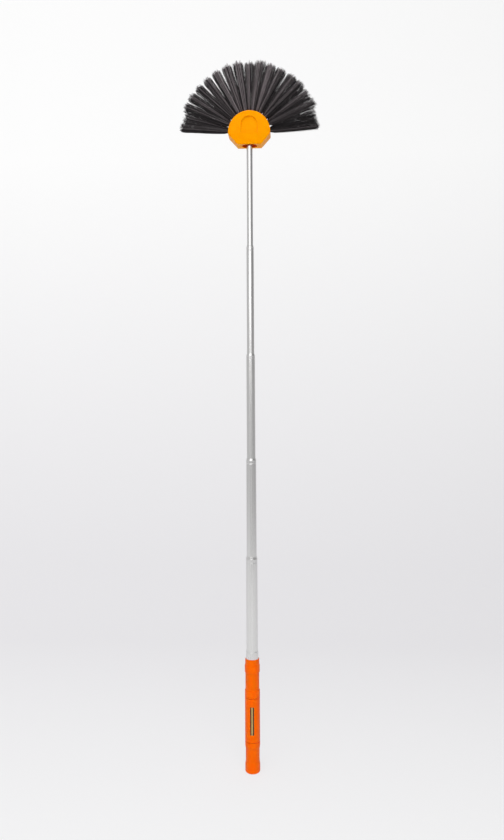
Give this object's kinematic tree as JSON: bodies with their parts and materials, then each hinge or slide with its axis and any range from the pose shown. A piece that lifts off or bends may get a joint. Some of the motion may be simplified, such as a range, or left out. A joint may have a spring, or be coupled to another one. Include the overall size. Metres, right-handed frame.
{
  "type": "telescopic cleaning brush",
  "caption": "Hand-held telescopic dusting brush: a flat fan of bristle tufts round a disc-shaped head, on nested metal tubes that slide into a plastic handle.",
  "frame": {"origin": "centre of the flat end face of the handle, on the pole's axis", "axes": "+Z along the pole towards the bristles, -Y out of the head's front face, +X to the right seen from the front"},
  "size_m": [0.2609, 0.0284, 1.3216],
  "materials": {
    "handle_plastic": "satin moulded orange",
    "head_plastic": "satin moulded amber orange",
    "tube_metal": "drawn, satin",
    "bristle": "dark grey filament",
    "bush_plastic": "natural bearing plastic",
    "label": "bare dark strip",
    "screw_steel": "plated"
  },
  "bodies": {
    "handle": {"end_cap": "handle_plastic", "grip_sleeve": "handle_plastic", "collar": "handle_plastic", "label_strip": "label", "liner_tube": "tube_metal"},
    "tube_1": {"tube_1": "tube_metal", "bush_1": "bush_plastic"},
    "tube_2": {"tube_2": "tube_metal", "bush_2": "bush_plastic"},
    "tube_3": {"tube_3": "tube_metal", "bush_3": "bush_plastic"},
    "tube_4": {"tube_4": "tube_metal", "bush_4": "bush_plastic"},
    "tip_bush": {"bush_5": "bush_plastic"},
    "brush_head": {"tube_5": "tube_metal", "head_block": "head_plastic", "socket_adapter": "head_plastic", "head_screw": "screw_steel", "bristle_tuft_01": "bristle", "bristle_tuft_02": "bristle", "bristle_tuft_03": "bristle", "bristle_tuft_04": "bristle", "bristle_tuft_05": "bristle", "bristle_tuft_06": "bristle", "bristle_tuft_07": "bristle", "bristle_tuft_08": "bristle", "bristle_tuft_09": "bristle", "bristle_tuft_10": "bristle", "bristle_tuft_11": "bristle", "bristle_tuft_12": "bristle", "bristle_tuft_13": "bristle", "bristle_tuft_14": "bristle", "bristle_tuft_15": "bristle", "bristle_tuft_16": "bristle", "bristle_tuft_17": "bristle", "bristle_tuft_18": "bristle", "bristle_tuft_19": "bristle"}
  },
  "joints": [
    {"name": "tube_1_slide", "type": "slide", "parent": "handle", "child": "tube_1", "axis": [0, 0, 1], "range_m": [-0.1719, 0]},
    {"name": "tube_2_slide", "type": "slide", "parent": "tube_1", "child": "tube_2", "axis": [0, 0, 1], "range_m": [-0.1789, 0]},
    {"name": "tube_3_slide", "type": "slide", "parent": "tube_2", "child": "tube_3", "axis": [0, 0, 1], "range_m": [-0.1889, 0]},
    {"name": "tube_4_slide", "type": "slide", "parent": "tube_3", "child": "tube_4", "axis": [0, 0, 1], "range_m": [-0.1959, 0]},
    {"name": "tube_5_slide", "type": "slide", "parent": "tube_4", "child": "tip_bush", "axis": [0, 0, 1], "range_m": [-0.195, 0]},
    {"name": "head_turn", "type": "hinge", "parent": "tip_bush", "child": "brush_head", "pos_m": [0, 0, 0.9665], "axis": [0, 0, 1], "continuous": true}
  ]
}
